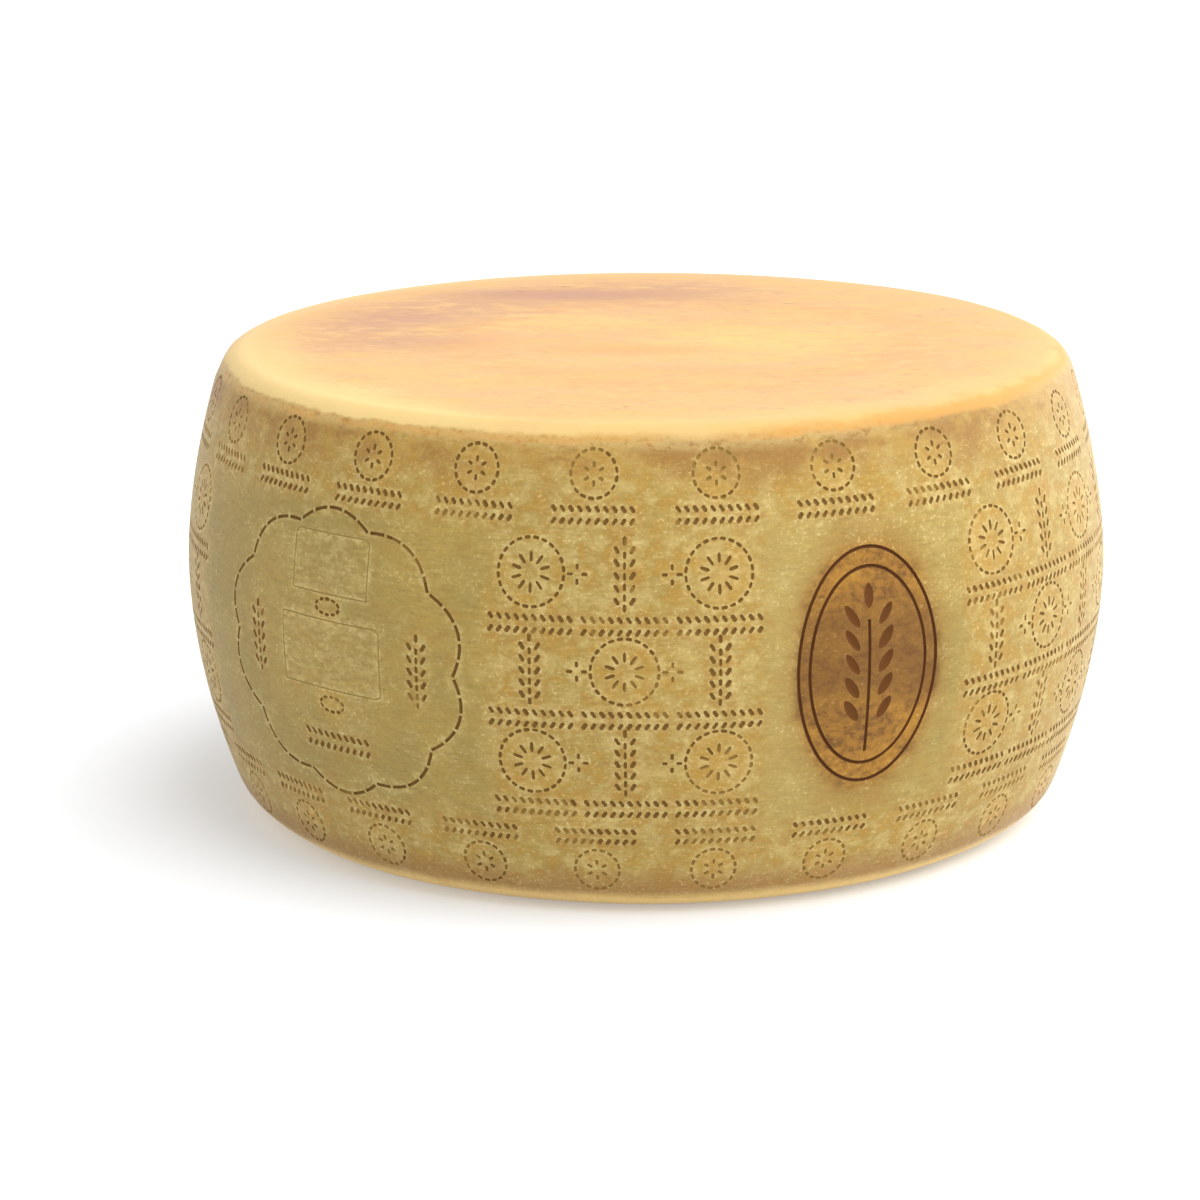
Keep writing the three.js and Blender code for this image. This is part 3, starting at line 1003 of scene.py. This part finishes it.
for first, count in figures["blocks"]:
    span = (count - 1) * figures["columnStep"]
    worked = np.maximum(worked, insideBox(
        arcFrom(first + span / 2), places[:, 2] - figures["rowHeights"][1],
        arcOf(span + figures["columnStep"] * 0.6), workedForm["tall"], workedForm["soft"]))
shaded, plated = np.zeros(len(mesh.vertices)), np.zeros(len(mesh.vertices))
for x, y, wide, tall in pressedPatches:
    shaded = np.maximum(shaded, insideBox(
        arcFrom(math.degrees(x / wheelForm["radius"])), places[:, 2] - y,
        wide, tall, workedForm["strokesSoft"]))
for points, closed in lines["plate"]:
    low, high = np.min(points, axis=0), np.max(points, axis=0)
    middle, size = (low + high) / 2, high - low
    plated = np.maximum(plated, insideBox(
        arcFrom(math.degrees(middle[0] / wheelForm["radius"])), places[:, 2] - middle[1],
        *size, workedForm["panelSoft"]))
for name, values in (("bloomAndHighlight", bloomAndHighlight), ("warm", warm), ("worked", worked),
                     ("shaded", shaded), ("plated", plated)):
    mesh.attributes.new(name, "FLOAT", "POINT").data.foreach_set("value", values)
for name in lines:
    mesh.attributes.remove(mesh.attributes[name])

# A map for baking: the side in four quarters, and the two flat faces beside them
bakeMap = {
    "square": 0.78,            # of real surface that the whole map is wide
    "gap": 3 * mm,
    "upperScale": 0.75,
    "lowerScale": 0.5,
    "lowerAside": 2.8,         # in reaches of the upper face
    "flatNormal": 0.997,
    "upperBand": 5 * mm,       # how far a flat face may lie inside the wheel's height
    "lowerBand": 0.2 * mm,
}


def makeBakeMap():
    square, gap = bakeMap["square"], bakeMap["gap"]
    quarter = arcOf(90)
    lower, side, upper = wheelRings()
    run = np.concatenate([[0], np.cumsum(np.hypot(*np.diff(np.array(side), axis=0).T))])
    heights = np.array(side)[:, 1]
    centres, normals = asArray(mesh.polygons, "center", 3), asArray(mesh.polygons, "normal", 3)
    height, flatNormal = centres[:, 2], bakeMap["flatNormal"]
    isUpper = (height > wheelForm["height"] - bakeMap["upperBand"]) & (
        normals[:, 2] > flatNormal) & (slots == 0)
    isLower = (height < bakeMap["lowerBand"]) & (normals[:, 2] < -flatNormal)
    strip = np.clip(np.floor(np.arctan2(centres[:, 0], -centres[:, 1]) / (math.pi / 2)) + 2, 0, 3)
    corner = places[loopVertex]
    strip, isUpper, isLower = strip[loopFace], isUpper[loopFace], isLower[loopFace]
    middle = (strip - 1.5) * math.pi / 2
    turn = np.angle(np.exp(1j * (np.arctan2(corner[:, 0], -corner[:, 1]) - middle)))
    u = gap + quarter / 2 + turn * wheelForm["radius"] + strip % 2 * (quarter + gap)
    v = gap + np.interp(corner[:, 2], heights, run) + strip // 2 * (run[-1] + gap)
    floorLevel = 3 * gap + 2 * run[-1]
    reach = wheelForm["topRadius"] * bakeMap["upperScale"]
    for chosen, scale, x, y in (
            (isUpper, bakeMap["upperScale"], gap + reach, floorLevel + reach),
            (isLower, bakeMap["lowerScale"], gap + bakeMap["lowerAside"] * reach, floorLevel + reach)):
        u = np.where(chosen, x + corner[:, 0] * scale, u)
        v = np.where(chosen, y + corner[:, 1] * scale, v)
    made = mesh.uv_layers.new(name="OFBake")
    made.data.foreach_set("uv", (np.stack([u, v], axis=1) / square).ravel())
    print("map for baking reaches", [round(float(value.max() / square), 3) for value in (u, v)])


mesh.uv_layers.remove(mesh.uv_layers["wrap"])
makeBakeMap()

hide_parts("cheese_wheel")
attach(rind, "root")

# Floor, light and camera
studio = {
    "floorSize": 160.0,
    "floor": (203, 205, 207),
    "floorGlow": 0.29,         # lit from beneath, as on a shadowless table
    "skyStrength": 0.82,
    "lampsAway": 3,
    # strength, spread in degrees, and the way to it: degrees to the right of the front, and up
    "lamps": {"softSun": (2.55, 54, (61, 60)), "lowFill": (0.6, 60, (76, 14)),
              "backFill": (3.0, 60, (134, 8))},
}
cameraView = {
    "at": (0, -1.67011, 0.52902),
    "towards": (-0.02136, 0, 0.08980),
    "roll": -0.0055,
    "lens": 109.22,
    "sensor": 36,
    "reach": 250,              # past the far edge of the floor
}


def makeFloor():
    half = studio["floorSize"] / 2
    shape = bmesh.new()
    shape.faces.new([shape.verts.new((x * half, y * half, 0))
                     for x, y in ((-1, -1), (1, -1), (1, 1), (-1, 1))])
    flat = bpy.data.meshes.new("floor")
    shape.to_mesh(flat)
    floor = bpy.data.objects.new("floor", flat)
    bpy.context.collection.objects.link(floor)
    material, nodes, shader = newMaterial("paleFloor")
    nodes.give(shader, {
        "Base Color": colour(*studio["floor"]), "Roughness": 0.9, "Specular IOR Level": 0.1,
        "Emission Color": (1, 1, 1, 1), "Emission Strength": studio["floorGlow"]})
    flat.materials.append(material)


def makeLight():
    world = bpy.data.worlds.new("studio")
    world.use_nodes = True
    background = world.node_tree.nodes["Background"]
    background.inputs["Color"].default_value = (1, 1, 1, 1)
    background.inputs["Strength"].default_value = studio["skyStrength"]
    bpy.context.scene.world = world
    for name, (strength, spread, (around, up)) in studio["lamps"].items():
        sun = bpy.data.lights.new(name, "SUN")
        sun.energy = strength
        sun.angle = math.radians(spread)
        around, up = math.radians(around), math.radians(up)
        source = Vector((math.sin(around) * math.cos(up), -math.cos(around) * math.cos(up),
                         math.sin(up)))
        lamp = bpy.data.objects.new(name, sun)
        lamp.location = source * studio["lampsAway"]
        lamp.rotation_euler = source.to_track_quat("Z", "Y").to_euler()
        bpy.context.collection.objects.link(lamp)


def makeCamera():
    lens = bpy.data.cameras.new("camera")
    lens.lens = cameraView["lens"]
    lens.sensor_width = cameraView["sensor"]
    lens.clip_end = cameraView["reach"]
    camera = bpy.data.objects.new("camera", lens)
    at, towards = Vector(cameraView["at"]), Vector(cameraView["towards"])
    turn = (towards - at).to_track_quat("-Z", "Y").to_matrix()
    camera.rotation_euler = (turn @ Euler((0, 0, cameraView["roll"])).to_matrix()).to_euler()
    camera.location = at
    bpy.context.collection.objects.link(camera)
    bpy.context.scene.camera = camera


makeFloor()
makeLight()
makeCamera()
bpy.context.scene.view_settings.view_transform = "Standard"
print("floor, light and camera placed")
